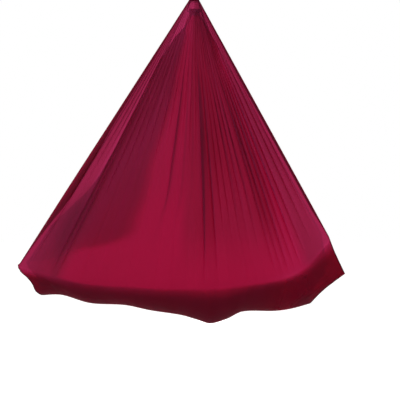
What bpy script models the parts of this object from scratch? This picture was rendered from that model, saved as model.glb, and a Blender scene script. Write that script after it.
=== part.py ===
# Aerial yoga hammock: one wide sheet, gathered at both ends and hung as a cocoon from two
# ceiling brackets. Metres, +Z up, +X along the lying space towards the head end, +Y to the
# far side. The origin is on the ceiling, midway between the two brackets.

import math

import bmesh
import bpy
from mathutils import Matrix, Vector

# Hanging points
HANGER_SPACING = 0.500
GAP = 0.0003

# Ceiling bracket, its eye and its fasteners
PLATE_LENGTH = 0.110
PLATE_WIDTH = 0.060
PLATE_THICKNESS = 0.005
PLATE_CORNER = 0.010
HOLE_SPACING_X = 0.084
HOLE_SPACING_Y = 0.036
HOLE_RADIUS = 0.0046
EYE_BAR_RADIUS = 0.005
EYE_BEND = 0.020
EYE_LEG = 0.015
SCREW_RADIUS = 0.004
SCREW_LENGTH = 0.060
SCREW_HEAD_ACROSS = 0.013
SCREW_HEAD_HEIGHT = 0.0055
WASHER_RADIUS = 0.008
WASHER_THICKNESS = 0.0016

# Oval screw-lock carabiner
BAR_RADIUS = 0.0055
BOW_RADIUS = 0.0235
SIDE_LENGTH = 0.052
HINGE_RISE = 0.006
NOSE_DROP = 0.006
GATE_END_GAP = 0.0006
TANG_THICKNESS = 0.004
TANG_RADIUS = 0.0045
FORK_ROOF = 0.006
TONGUE_THICKNESS = 0.003
TONGUE_WIDTH = 0.008
TONGUE_LENGTH = 0.0043
PIN_RADIUS = 0.002
PIN_CLEARANCE = 0.0001
PIN_HEAD_RADIUS = 0.003
PIN_HEAD_HEIGHT = 0.0008
HINGE_BOSS_LENGTH = 0.0112
SPRING_BORE_RADIUS = 0.0025
SPRING_BORE_DEPTH = 0.018
SPRING_WIRE = 0.0004
SPRING_TURNS = 7
SLEEVE_LENGTH = 0.020
SLEEVE_WALL = 0.0018
SLEEVE_FLUTES = 22
FLUTE_DEPTH = 0.0004
SLEEVE_REST_GAP = 0.0135

# Daisy-chain strap
STRAP_LENGTH = 0.240
STRAP_WIDTH = 0.016
STRAP_LAYER = 0.0022
STRAP_EYE_LENGTH = 0.036
POCKET_COUNT = 4
POCKET_DEPTH = 0.010
TACK_LENGTH = 0.006

# Sling through the channel of the sheet
SLING_DROP = 0.090
SLING_WIDTH = 0.020
SLING_THICKNESS = 0.003
SLING_FLAT = 0.064
SLING_CORNER = 0.007

# Gathered end of the sheet
CHANNEL_LENGTH = 0.058
CHANNEL_HALF_WIDTH = 0.021
CHANNEL_HALF_HEIGHT = 0.015
NECK_WIDTH = 0.054
CHANNEL_SIDES = 16

# Spread of the sheet, measured from the point that its two straight hems aim at
FAN_ABOVE_NECK = 0.046
LIP_LEFT = 0.926
LIP_RIGHT = 0.707
LIP_DROP = 1.540
BELLY_LEFT = 0.820
BELLY_RIGHT = 0.618
BELLY_DROP = 1.757
LIP_HALF_WIDTH = 0.270
FOOT_HALF_WIDTH = 0.170
HEAD_HALF_WIDTH = 0.215
CORNER_FLARE = 0.137
FLARE_START = 0.85
FLARE_MIDDLE = 0.54
FAR_FLARE_SHARE = 0.6
SHEET_THICKNESS = 0.0020

# Rise of the lip above its deepest point, against the share of the width from the foot end
LIP_RISE = ((0.0, 0.110), (0.11, 0.052), (0.27, 0.011), (0.58, 0.0), (0.745, 0.021),
            (0.90, 0.099), (0.952, 0.219), (1.0, 0.262))
# Rise of the underside above the lowest point, in the same way
BELLY_RISE = ((0.0, 0.156), (0.075, 0.158), (0.18, 0.115), (0.315, 0.104), (0.405, 0.077),
              (0.525, 0.050), (0.585, 0.024), (0.63, 0.005), (0.69, 0.029), (0.75, 0.069),
              (0.87, 0.072), (0.93, 0.083), (1.0, 0.110))

# Main folds: share of the width, half width, depth, and the share of the panel where it fades
NEAR_FOLDS = ((0.05, 0.022, 0.014, 0.90), (0.12, 0.024, 0.018, 0.92), (0.44, 0.024, 0.014, 0.62),
              (0.61, 0.026, 0.020, 0.90), (0.73, 0.026, 0.018, 0.72), (0.85, 0.022, 0.018, 0.86),
              (0.93, 0.022, 0.018, 0.88))
FAR_FOLDS = ((0.44, 0.024, 0.018, 0.84), (0.61, 0.026, 0.016, 0.70), (0.73, 0.026, 0.020, 0.86),
             (0.85, 0.022, 0.016, 0.80), (0.93, 0.022, 0.016, 0.88))

FOLD_OPENS = 0.30
FOLD_FADES = 0.35

PANEL_ROWS = (0.0, 0.15, 0.35, 0.60, 0.82)
BELLY_ROWS = 8
COLUMN_PITCH = 0.085
BELLY_SQUARENESS = 0.85
ROUND_SIDES = 24
SMALL_SIDES = 16
BOW_STEPS = 9
SCREW_HEAD_SIDES = 6

# Heights, from the ceiling down
EYE_Z = -(PLATE_THICKNESS + EYE_LEG + EYE_BEND)
UPPER_TOP_Z = EYE_Z + EYE_BAR_RADIUS + BAR_RADIUS + GAP
LINK_LENGTH = SIDE_LENGTH + 2 * BOW_RADIUS
UPPER_BOTTOM_Z = UPPER_TOP_Z - LINK_LENGTH
LOWER_TOP_Z = UPPER_BOTTOM_Z - STRAP_LENGTH
LOWER_BOTTOM_Z = LOWER_TOP_Z - LINK_LENGTH
CHANNEL_Z = LOWER_BOTTOM_Z - SLING_DROP
NECK_Z = CHANNEL_Z - CHANNEL_HALF_HEIGHT
FAN_Z = NECK_Z + FAN_ABOVE_NECK

COLOURS = {
    "tricot": ((0.30, 0.012, 0.045), 0.0, 0.75),
    "webbing": ((0.045, 0.045, 0.050), 0.0, 0.85),
    "steel": ((0.62, 0.63, 0.65), 1.0, 0.28),
    "anodised": ((0.09, 0.09, 0.10), 1.0, 0.38),
    "zinc": ((0.55, 0.56, 0.58), 1.0, 0.45),
    "powder_coat": ((0.035, 0.035, 0.038), 0.0, 0.50),
}


def clear_scene():
    for obj in list(bpy.data.objects):
        bpy.data.objects.remove(obj, do_unlink=True)


def make_material(name):
    colour, metallic, roughness = COLOURS[name]
    material = bpy.data.materials.new(name)
    material.use_nodes = True
    shader = material.node_tree.nodes["Principled BSDF"]
    shader.inputs["Base Color"].default_value = (*colour, 1.0)
    shader.inputs["Metallic"].default_value = metallic
    shader.inputs["Roughness"].default_value = roughness
    material.diffuse_color = (*colour, 1.0)
    return material


def smooth_step(low, high, value):
    share = min(1.0, max(0.0, (value - low) / (high - low)))
    return share * share * (3.0 - 2.0 * share)


def blend(first, second, share):
    return first + (second - first) * share


def read_line(points, share):
    """Height of a smooth line through a few points, at this share of the width."""
    last = len(points) - 1
    slopes = []
    for i in range(last + 1):
        before, after = points[max(i - 1, 0)], points[min(i + 1, last)]
        slopes.append((after[1] - before[1]) / (after[0] - before[0]))
    for i in range(last):
        (x0, y0), (x1, y1) = points[i], points[i + 1]
        if share <= x1 or i == last - 1:
            span = x1 - x0
            t = (share - x0) / span
            return ((2 * t ** 3 - 3 * t ** 2 + 1) * y0 + (t ** 3 - 2 * t ** 2 + t) * span * slopes[i]
                    + (3 * t ** 2 - 2 * t ** 3) * y1 + (t ** 3 - t ** 2) * span * slopes[i + 1])


def add_object(name, mesh, collection):
    obj = bpy.data.objects.new(name, mesh)
    collection.objects.link(obj)
    return obj


def mesh_from_bmesh(name, shape):
    mesh = bpy.data.meshes.new(name)
    bmesh.ops.recalc_face_normals(shape, faces=shape.faces[:])
    shape.to_mesh(mesh)
    shape.free()
    return mesh


def cylinder(name, radius, length, axis, centre, collection, sides=ROUND_SIDES):
    """A round bar of this length along an axis, its middle at the centre."""
    shape = bmesh.new()
    turn = Vector((0, 0, 1)).rotation_difference(Vector(axis)).to_matrix().to_4x4()
    bmesh.ops.create_cone(shape, cap_ends=True, segments=sides, radius1=radius, radius2=radius,
                          depth=length, matrix=Matrix.Translation(centre) @ turn)
    return add_object(name, mesh_from_bmesh(name, shape), collection)


def box(name, low, high, collection):
    shape = bmesh.new()
    middle = [(a + b) / 2 for a, b in zip(low, high)]
    size = [b - a for a, b in zip(low, high)]
    place = Matrix.Translation(middle) @ Matrix.Diagonal((*size, 1.0))
    bmesh.ops.create_cube(shape, size=1.0, matrix=place)
    return add_object(name, mesh_from_bmesh(name, shape), collection)


def curve_to_mesh(curve_object, collection):
    """The curve's mesh, with its caps welded on, in place of the curve."""
    graph = bpy.context.evaluated_depsgraph_get()
    graph.update()
    mesh = bpy.data.meshes.new_from_object(curve_object.evaluated_get(graph))
    name, place = curve_object.name, curve_object.matrix_world.copy()
    bpy.data.objects.remove(curve_object, do_unlink=True)
    shape = bmesh.new()
    shape.from_mesh(mesh)
    bmesh.ops.remove_doubles(shape, verts=shape.verts[:], dist=0.000001)
    bmesh.ops.recalc_face_normals(shape, faces=shape.faces[:])
    shape.to_mesh(mesh)
    shape.free()
    mesh.name = name
    obj = add_object(name, mesh, collection)
    obj.matrix_world = place
    return obj


def bar_along(name, points, radius, collection, resolution=2):
    """A round bar with flat ends along a list of points."""
    curve = bpy.data.curves.new(name, "CURVE")
    curve.dimensions = "3D"
    curve.bevel_depth = radius
    curve.bevel_resolution = resolution
    curve.use_fill_caps = True
    spline = curve.splines.new("POLY")
    spline.points.add(len(points) - 1)
    for point, place in zip(spline.points, points):
        point.co = (*place, 1.0)
    return curve_to_mesh(add_object(name, curve, collection), collection)


def flat_piece(name, outlines, thickness, place, collection):
    """A plate cut to the first outline, with the other outlines as holes."""
    curve = bpy.data.curves.new(name, "CURVE")
    curve.dimensions = "2D"
    curve.fill_mode = "BOTH"
    curve.extrude = thickness / 2
    for outline in outlines:
        spline = curve.splines.new("POLY")
        spline.points.add(len(outline) - 1)
        spline.use_cyclic_u = True
        for point, (x, y) in zip(spline.points, outline):
            point.co = (x, y, 0.0, 1.0)
    obj = add_object(name, curve, collection)
    obj.matrix_world = place
    bpy.context.view_layer.update()
    return curve_to_mesh(obj, collection)


def upright_at(y):
    """Puts a flat outline's first axis along +X and its second along +Z, its middle plane at y."""
    return Matrix.Translation((0, y, 0)) @ Matrix.Rotation(math.pi / 2, 4, "X")


def apply_boolean(obj, other, operation):
    modifier = obj.modifiers.new(operation.lower(), "BOOLEAN")
    modifier.operation = operation
    modifier.object = other
    graph = bpy.context.evaluated_depsgraph_get()
    graph.update()
    mesh = bpy.data.meshes.new_from_object(obj.evaluated_get(graph))
    obj.modifiers.clear()
    mesh.name = obj.name
    obj.data = mesh
    bpy.data.objects.remove(other, do_unlink=True)


def belt(circles, offset, steps=6):
    """Outline of a belt round circles (x, y, radius) that are listed anticlockwise."""
    outline = []
    count = len(circles)
    normals = []
    for i in range(count):
        (x0, y0, r0), (x1, y1, r1) = circles[i], circles[(i + 1) % count]
        run = Vector((x1 - x0, y1 - y0))
        length = run.length
        lean = math.asin((r0 - r1) / length)
        normals.append(math.atan2(-run.x, run.y) + lean)
    for i in range(count):
        x, y, radius = circles[i]
        start, end = normals[i - 1], normals[i]
        while end < start:
            end += 2 * math.pi
        for step in range(steps + 1):
            angle = blend(start, end, step / steps)
            outline.append((x + (radius + offset) * math.cos(angle),
                            y + (radius + offset) * math.sin(angle)))
    return outline


def finish_piece(obj, material, angle=35.0):
    obj.data.materials.clear()
    obj.data.materials.append(material)
    obj.data.shade_smooth()
    obj.data.set_sharp_from_angle(angle=math.radians(angle))


def set_origin(obj, place):
    """Moves the object's origin to a place in the world and leaves its shape where it is."""
    shift = Matrix.Translation(place)
    obj.data.transform(shift.inverted() @ obj.matrix_world)
    obj.matrix_world = shift


def parent_to(child, parent):
    place = child.matrix_world.copy()
    child.parent = parent
    child.matrix_world = place


def rounded_rectangle(length, width, corner, steps=5):
    x, y = length / 2 - corner, width / 2 - corner
    return belt([(x, -y, corner), (x, y, corner), (-x, y, corner), (-x, -y, corner)], 0.0, steps)


def circle(x, y, radius, sides=ROUND_SIDES):
    return [(x + radius * math.cos(2 * math.pi * i / sides), y + radius * math.sin(2 * math.pi * i / sides))
            for i in range(sides)]


def build_bracket(side, y, materials, group, cutters):
    """A plate with a welded eye, its four screws and their washers."""
    holes = [(sx * HOLE_SPACING_X / 2, sy * HOLE_SPACING_Y / 2) for sx in (-1, 1) for sy in (-1, 1)]
    outlines = [rounded_rectangle(PLATE_LENGTH, PLATE_WIDTH, PLATE_CORNER)]
    outlines += [circle(x, hole_y, HOLE_RADIUS, SMALL_SIDES) for x, hole_y in holes]
    place = Matrix.Translation((0, y, -PLATE_THICKNESS / 2))
    plate = flat_piece(side + "_ceiling_bracket", outlines, PLATE_THICKNESS, place, group)
    top = -PLATE_THICKNESS / 2
    bend_z = EYE_Z + EYE_BEND
    points = [(-EYE_BEND, y, top)]
    for step in range(2 * BOW_STEPS + 1):
        angle = math.pi * (1 + step / (2 * BOW_STEPS))
        points.append((EYE_BEND * math.cos(angle), y, bend_z + EYE_BEND * math.sin(angle)))
    points.append((EYE_BEND, y, top))
    eye = bar_along(side + "_eye", points, EYE_BAR_RADIUS, cutters)
    apply_boolean(plate, eye, "UNION")
    finish_piece(plate, materials["powder_coat"])
    set_origin(plate, (0, y, 0))

    washer_top = -PLATE_THICKNESS - GAP
    head_top = washer_top - WASHER_THICKNESS - GAP
    for number, (x, hole_y) in enumerate(holes, start=1):
        outlines = [circle(x, y + hole_y, WASHER_RADIUS, SMALL_SIDES),
                    circle(x, y + hole_y, HOLE_RADIUS, SMALL_SIDES)]
        place = Matrix.Translation((0, 0, washer_top - WASHER_THICKNESS / 2))
        washer = flat_piece(f"{side}_washer_{number}", outlines, WASHER_THICKNESS, place, group)
        finish_piece(washer, materials["zinc"])
        parent_to(washer, plate)
        head = cylinder(f"{side}_ceiling_screw_{number}", SCREW_HEAD_ACROSS / math.sqrt(3),
                        SCREW_HEAD_HEIGHT, (0, 0, 1),
                        (x, y + hole_y, head_top - SCREW_HEAD_HEIGHT / 2), group, SCREW_HEAD_SIDES)
        shank_bottom = head_top - SCREW_HEAD_HEIGHT / 2
        shank = cylinder("shank", SCREW_RADIUS, head_top + SCREW_LENGTH - shank_bottom, (0, 0, 1),
                         (x, y + hole_y, (head_top + SCREW_LENGTH + shank_bottom) / 2), cutters, SMALL_SIDES)
        apply_boolean(head, shank, "UNION")
        finish_piece(head, materials["zinc"])
        parent_to(head, plate)
    return plate


def carabiner_path(y_spine, y_gate, top_z):
    """Middle line of the frame's bar: from the nose over the top bow, down the spine, to the hinge."""
    centre_y = (y_spine + y_gate) / 2
    across = (y_gate - y_spine) / 2
    high = top_z - BOW_RADIUS
    low = high - SIDE_LENGTH
    points = [(0, y_gate, high - NOSE_DROP)]
    for step in range(2 * BOW_STEPS + 1):
        angle = math.pi * step / (2 * BOW_STEPS)
        points.append((0, centre_y + across * math.cos(angle), high + BOW_RADIUS * math.sin(angle)))
    for step in range(2 * BOW_STEPS + 1):
        angle = math.pi * (1 + step / (2 * BOW_STEPS))
        points.append((0, centre_y + across * math.cos(angle), low + BOW_RADIUS * math.sin(angle)))
    points[-1] = (0, y_gate, low + GAP)
    return points, high, low


def build_carabiner(name, y, outward, top_z, materials, group, cutters):
    """Frame, gate, pin, spring and screw sleeve. The gate is on the outward side."""
    y_gate, y_spine = y + outward * BOW_RADIUS, y - outward * BOW_RADIUS
    points, high, low = carabiner_path(y_spine, y_gate, top_z)
    hinge = Vector((0, y_gate, low + HINGE_RISE))
    nose_z = high - NOSE_DROP
    gate_top = nose_z - GATE_END_GAP
    tongue_bottom = gate_top - TONGUE_LENGTH
    wide = 2 * BAR_RADIUS

    frame = bar_along(name + "_frame", points, BAR_RADIUS, group)
    tongue = box("tongue", (-TONGUE_THICKNESS / 2, y_gate - TONGUE_WIDTH / 2, tongue_bottom),
                 (TONGUE_THICKNESS / 2, y_gate + TONGUE_WIDTH / 2, nose_z + BAR_RADIUS), cutters)
    apply_boolean(frame, tongue, "UNION")
    tang = box("tang", (-TANG_THICKNESS / 2, y_gate - TANG_RADIUS, low - BAR_RADIUS / 2),
               (TANG_THICKNESS / 2, y_gate + TANG_RADIUS, hinge.z), cutters)
    tang_end = cylinder("tang_end", TANG_RADIUS, TANG_THICKNESS, (1, 0, 0), hinge, cutters)
    apply_boolean(tang, tang_end, "UNION")
    apply_boolean(frame, tang, "UNION")
    hole = cylinder("pin_hole", PIN_RADIUS + PIN_CLEARANCE, wide * 2, (1, 0, 0), hinge, cutters,
                    SMALL_SIDES)
    apply_boolean(frame, hole, "DIFFERENCE")
    finish_piece(frame, materials["steel"])
    set_origin(frame, (0, y, top_z))

    gate = cylinder(name + "_gate", BAR_RADIUS, gate_top - hinge.z, (0, 0, 1),
                    (0, y_gate, (gate_top + hinge.z) / 2), group)
    boss = cylinder("boss", HINGE_RISE - 2 * GAP, HINGE_BOSS_LENGTH, (1, 0, 0), hinge, cutters)
    apply_boolean(gate, boss, "UNION")
    fork_half = TANG_THICKNESS / 2 + GAP
    fork = box("fork", (-fork_half, y_gate - wide, hinge.z - wide),
               (fork_half, y_gate + wide, hinge.z + FORK_ROOF), cutters)
    apply_boolean(gate, fork, "DIFFERENCE")
    slot_half = TONGUE_THICKNESS / 2 + GAP
    slot = box("slot", (-slot_half, y_gate - wide, tongue_bottom - GATE_END_GAP),
               (slot_half, y_gate + wide, gate_top + wide), cutters)
    apply_boolean(gate, slot, "DIFFERENCE")
    bore_low = hinge.z + FORK_ROOF - GAP
    bore_high = bore_low + SPRING_BORE_DEPTH
    bore = cylinder("bore", SPRING_BORE_RADIUS, SPRING_BORE_DEPTH, (0, 0, 1),
                    (0, y_gate, (bore_low + bore_high) / 2), cutters, SMALL_SIDES)
    apply_boolean(gate, bore, "DIFFERENCE")
    hole = cylinder("pin_hole", PIN_RADIUS + PIN_CLEARANCE, wide * 2, (1, 0, 0), hinge, cutters,
                    SMALL_SIDES)
    apply_boolean(gate, hole, "DIFFERENCE")
    finish_piece(gate, materials["anodised"])
    set_origin(gate, hinge)
    parent_to(gate, frame)

    pin = cylinder(name + "_gate_pin", PIN_RADIUS, HINGE_BOSS_LENGTH + 2 * (GAP + PIN_HEAD_HEIGHT),
                   (1, 0, 0), hinge, group, SMALL_SIDES)
    for end in (-1, 1):
        head_x = end * (HINGE_BOSS_LENGTH / 2 + GAP + PIN_HEAD_HEIGHT / 2)
        head = cylinder("pin_head", PIN_HEAD_RADIUS, PIN_HEAD_HEIGHT, (1, 0, 0),
                        hinge + Vector((head_x, 0, 0)), cutters, SMALL_SIDES)
        apply_boolean(pin, head, "UNION")
    finish_piece(pin, materials["steel"])
    set_origin(pin, hinge)
    parent_to(pin, gate)

    build_gate_spring(name, hinge, bore_high, materials, group, gate)

    outer = BAR_RADIUS + GAP + SLEEVE_WALL
    teeth = []
    for i in range(2 * SLEEVE_FLUTES):
        radius = outer - (FLUTE_DEPTH if i % 2 else 0.0)
        angle = math.pi * i / SLEEVE_FLUTES
        teeth.append((radius * math.cos(angle), radius * math.sin(angle)))
    inner = (BAR_RADIUS + GAP) / math.cos(math.pi / ROUND_SIDES)
    sleeve_low = hinge.z + SLEEVE_REST_GAP
    place = Matrix.Translation((0, y_gate, sleeve_low + SLEEVE_LENGTH / 2))
    sleeve = flat_piece(name + "_sleeve", [teeth, circle(0, 0, inner)], SLEEVE_LENGTH, place, group)
    finish_piece(sleeve, materials["steel"], 20.0)
    set_origin(sleeve, (0, y_gate, sleeve_low))
    parent_to(sleeve, gate)
    return frame


def build_gate_spring(name, hinge, bore_high, materials, group, gate):
    """The closing spring in the gate's bore, between the bore's end and the frame's tang."""
    low = hinge.z + TANG_RADIUS + GAP + SPRING_WIRE
    high = bore_high - GAP - SPRING_WIRE
    coil = SPRING_BORE_RADIUS - GAP - SPRING_WIRE
    steps = SPRING_TURNS * 8
    points = []
    for step in range(steps + 1):
        angle = 2 * math.pi * SPRING_TURNS * step / steps
        points.append((coil * math.cos(angle), hinge.y + coil * math.sin(angle),
                       blend(low, high, step / steps)))
    spring = bar_along(name + "_gate_spring", points, SPRING_WIRE, group, 1)
    finish_piece(spring, materials["steel"], 180.0)
    set_origin(spring, hinge)
    parent_to(spring, gate)


def bar_rise(width):
    """How far the inside of a carabiner's bow climbs at the edges of a webbing of this width."""
    inside = BOW_RADIUS - BAR_RADIUS
    return inside - math.sqrt(inside ** 2 - (width / 2) ** 2)


def build_strap(side, y, materials, group):
    """Webbing with an eye at each end and a row of sewn pockets between them."""
    loose = 2 * GAP
    radius = BAR_RADIUS + loose
    rise = bar_rise(STRAP_WIDTH) - GAP
    top, bottom = UPPER_BOTTOM_Z + rise, LOWER_TOP_Z - rise
    join_top, join_bottom = top - STRAP_EYE_LENGTH, bottom + STRAP_EYE_LENGTH
    fine = STRAP_LAYER / 4
    outer_top = belt([(0, top, radius), (0, join_top, fine)], STRAP_LAYER)
    outer_bottom = belt([(0, join_bottom, fine), (0, bottom, radius)], STRAP_LAYER)
    half = len(outer_top) // 2

    pitch = (join_top - join_bottom) / POCKET_COUNT
    pocket_steps = 8
    right, pockets = [], []
    for pocket in range(POCKET_COUNT):
        start = join_bottom + pitch * pocket + TACK_LENGTH / 2
        length = pitch - TACK_LENGTH
        bulge = [(POCKET_DEPTH * math.sin(math.pi * i / pocket_steps) ** 2,
                  start + length * i / pocket_steps) for i in range(pocket_steps + 1)]
        right += [(STRAP_LAYER + x, z) for x, z in bulge]
        pockets.append([bulge[0], bulge[-1]] + bulge[-2:0:-1])
    top_arc = [point for point in outer_top[:half]]
    bottom_arc = [point for point in outer_bottom[half:]]
    outline = top_arc + [(-STRAP_LAYER, join_top), (-STRAP_LAYER, join_bottom)] + bottom_arc + right
    eye_top = belt([(0, top, radius), (0, join_top + STRAP_LAYER, fine)], 0.0)
    eye_bottom = belt([(0, join_bottom - STRAP_LAYER, fine), (0, bottom, radius)], 0.0)
    strap = flat_piece(side + "_daisy_strap", [outline, eye_top, eye_bottom] + pockets,
                       STRAP_WIDTH, upright_at(y), group)
    finish_piece(strap, materials["webbing"], 25.0)
    set_origin(strap, (0, y, UPPER_BOTTOM_Z))
    return strap


def build_sling(side, y, materials, group):
    """Endless webbing that hangs on the lower carabiner and runs through the sheet's channel."""
    radius = BAR_RADIUS + 2 * GAP
    top = LOWER_BOTTOM_Z + bar_rise(SLING_WIDTH) - GAP
    low = CHANNEL_Z + SLING_THICKNESS / 2 + SLING_CORNER
    half = SLING_FLAT / 2
    wheels = [(0, top, radius), (-half, low, SLING_CORNER), (half, low, SLING_CORNER)]
    sling = flat_piece(side + "_sling", [belt(wheels, SLING_THICKNESS), belt(wheels, 0.0)],
                       SLING_WIDTH, upright_at(y), group)
    finish_piece(sling, materials["webbing"], 25.0)
    set_origin(sling, (0, y, LOWER_BOTTOM_Z))
    return sling


def lip_half_width(share):
    """Half the depth of the lying space: narrower at the foot end than at the head end."""
    foot = smooth_step(0.45, 0.0, share)
    head = smooth_step(0.55, 1.0, share)
    return LIP_HALF_WIDTH - foot * (LIP_HALF_WIDTH - FOOT_HALF_WIDTH) \
        - head * (LIP_HALF_WIDTH - HEAD_HALF_WIDTH)


def fold_depth(folds, share, down):
    """How far the folds draw the sheet inwards at a share of the width and a share of the drop."""
    depth = 0.0
    for middle, half, deep, end in folds:
        shape = max(0.0, 1.0 - abs(share - middle) / half)
        depth += deep * shape * smooth_step(0.0, FOLD_OPENS, down) * smooth_step(end, end - FOLD_FADES, down)
    return depth


def lip_point(share, far):
    x = blend(-LIP_LEFT, LIP_RIGHT, share)
    drop = LIP_DROP - read_line(LIP_RISE, share)
    side = 1.0 if far else -1.0
    return Vector((x, side * lip_half_width(share), FAN_Z - drop))


def belly_point(share, turn):
    """The underside, from the near lip (turn 0) to the far lip (turn 1)."""
    angle = math.pi * turn
    across, down = math.cos(angle), abs(math.sin(angle)) ** BELLY_SQUARENESS
    far = across < 0
    lip = lip_point(share, far)
    x = blend(lip.x, blend(-BELLY_LEFT, BELLY_RIGHT, share), down)
    corner = max(0.0, 1.0 - abs(down - FLARE_MIDDLE) / FLARE_MIDDLE)
    corner *= smooth_step(FLARE_START, 1.0, share)
    x += CORNER_FLARE * corner * (FAR_FLARE_SHARE if far else 1.0)
    z = blend(lip.z, FAN_Z - BELLY_DROP + read_line(BELLY_RISE, share), down)
    side = 1.0 if far else -1.0
    y = side * lip_half_width(share) * abs(across) ** BELLY_SQUARENESS
    return Vector((x, y, z))


def panel_point(share, down, far):
    """A hanging panel, from its gathered neck (down 0) to its lip (down 1)."""
    side = 1.0 if far else -1.0
    neck = Vector((NECK_WIDTH * (share - 0.5), side * HANGER_SPACING / 2, NECK_Z))
    point = neck.lerp(lip_point(share, far), down)
    point.y -= side * fold_depth(FAR_FOLDS if far else NEAR_FOLDS, share, down)
    return point


def sheet_columns():
    """Shares of the width where the mesh has an edge: the feet and the bottom of every fold."""
    marks = [0.0, 1.0]
    for middle, half, _, _ in NEAR_FOLDS:
        marks += [middle - half, middle, middle + half]
    marks = sorted(marks)
    columns = [marks[0]]
    for mark in marks[1:]:
        run = mark - columns[-1]
        pieces = max(1, math.ceil(run / COLUMN_PITCH))
        columns += [columns[-1] + run * i / pieces for i in range(1, pieces + 1)]
    return columns


def build_sheet(materials, group, cutters):
    """The sheet from one gathered end to the other, given a thickness, with its two channels."""
    start = -(CHANNEL_HALF_HEIGHT - SLING_THICKNESS) / 2
    rows = []
    columns = sheet_columns()
    neck_lift = Vector((0, 0, CHANNEL_HALF_HEIGHT + start))
    rows.append([panel_point(share, 0.0, False) + neck_lift for share in columns])
    for down in PANEL_ROWS:
        rows.append([panel_point(share, down, False) for share in columns])
    for row in range(BELLY_ROWS + 1):
        rows.append([belly_point(share, row / BELLY_ROWS) for share in columns])
    for down in reversed(PANEL_ROWS):
        rows.append([panel_point(share, down, True) for share in columns])
    rows.append([panel_point(share, 0.0, True) + neck_lift for share in columns])

    shape = bmesh.new()
    grid = [[shape.verts.new(point) for point in row] for row in rows]
    for upper, lower in zip(grid, grid[1:]):
        for i in range(len(columns) - 1):
            shape.faces.new((upper[i], upper[i + 1], lower[i + 1], lower[i]))
    sheet = add_object("hammock_sheet", mesh_from_bmesh("hammock_sheet", shape), group)
    solidify = sheet.modifiers.new("thickness", "SOLIDIFY")
    solidify.thickness = SHEET_THICKNESS
    solidify.offset = 0.0
    for y in (-HANGER_SPACING / 2, HANGER_SPACING / 2):
        channel = build_channel(y, cutters)
        apply_boolean(sheet, channel, "UNION")
    finish_piece(sheet, materials["tricot"], 60.0)
    set_origin(sheet, (0, 0, NECK_Z))
    return sheet


def build_channel(y, cutters):
    """The sewn channel: a flattened tube round the bottom run of the sling."""
    place = Matrix.Translation((0, y, CHANNEL_Z)) @ Matrix.Rotation(math.pi / 2, 4, "Y")
    outer = [(CHANNEL_HALF_HEIGHT * math.cos(a), CHANNEL_HALF_WIDTH * math.sin(a))
             for a in (2 * math.pi * i / CHANNEL_SIDES for i in range(CHANNEL_SIDES))]
    high, wide = SLING_THICKNESS / 2 + GAP, SLING_WIDTH / 2 + GAP
    inner = [(-high, -wide), (high, -wide), (high, wide), (-high, wide)]
    return flat_piece("channel", [outer, inner], CHANNEL_LENGTH, place, cutters)


def build():
    clear_scene()
    group = bpy.data.collections.new("aerial_yoga_hammock")
    cutters = bpy.data.collections.new("cutters")
    for collection in (group, cutters):
        bpy.context.scene.collection.children.link(collection)
    cutters.hide_render = True
    materials = {name: make_material(name) for name in COLOURS}

    ceiling = bpy.data.objects.new("ceiling_line", None)
    group.objects.link(ceiling)
    hanging = bpy.data.objects.new("swing_axis", None)
    hanging.location = (0, 0, UPPER_TOP_Z)
    group.objects.link(hanging)
    bpy.context.view_layer.update()

    for side, sign in (("near", -1), ("far", 1)):
        y = sign * HANGER_SPACING / 2
        parent_to(build_bracket(side, y, materials, group, cutters), ceiling)
        for place, top_z in (("upper", UPPER_TOP_Z), ("lower", LOWER_TOP_Z)):
            frame = build_carabiner(f"{side}_{place}_carabiner", y, sign, top_z, materials, group, cutters)
            parent_to(frame, hanging)
        parent_to(build_strap(side, y, materials, group), hanging)
        parent_to(build_sling(side, y, materials, group), hanging)
    parent_to(build_sheet(materials, group, cutters), hanging)


build()
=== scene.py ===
import math
from functools import partial

import bmesh
import bpy
import numpy as np
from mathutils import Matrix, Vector


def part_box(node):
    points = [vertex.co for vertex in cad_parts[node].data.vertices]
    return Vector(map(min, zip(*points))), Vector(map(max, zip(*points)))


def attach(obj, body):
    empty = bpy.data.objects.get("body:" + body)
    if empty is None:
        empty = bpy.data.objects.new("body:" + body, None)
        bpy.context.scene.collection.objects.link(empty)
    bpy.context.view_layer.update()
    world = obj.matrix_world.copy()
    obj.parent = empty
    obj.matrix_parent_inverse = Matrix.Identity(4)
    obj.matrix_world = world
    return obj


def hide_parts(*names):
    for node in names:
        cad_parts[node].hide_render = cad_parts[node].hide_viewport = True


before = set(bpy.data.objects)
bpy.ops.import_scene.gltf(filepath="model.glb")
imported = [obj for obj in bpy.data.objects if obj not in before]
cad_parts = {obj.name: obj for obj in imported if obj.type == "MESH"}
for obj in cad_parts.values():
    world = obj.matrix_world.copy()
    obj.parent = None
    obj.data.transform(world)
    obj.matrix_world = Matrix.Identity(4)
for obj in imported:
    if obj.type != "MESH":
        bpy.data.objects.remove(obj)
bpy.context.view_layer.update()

print("frame loaded:", len(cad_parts), "nodes")


def smoothStep(low, high, value):
    share = np.clip((np.asarray(value, float) - low) / (high - low), 0, 1)
    return share * share * (3.0 - 2.0 * share)


def blendTo(first, second, share):
    return first + (second - first) * share


def easeTo(start, end, value):
    # smoothly from one place and level to another
    return blendTo(start[1], end[1], smoothStep(start[0], end[0], value))


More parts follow.
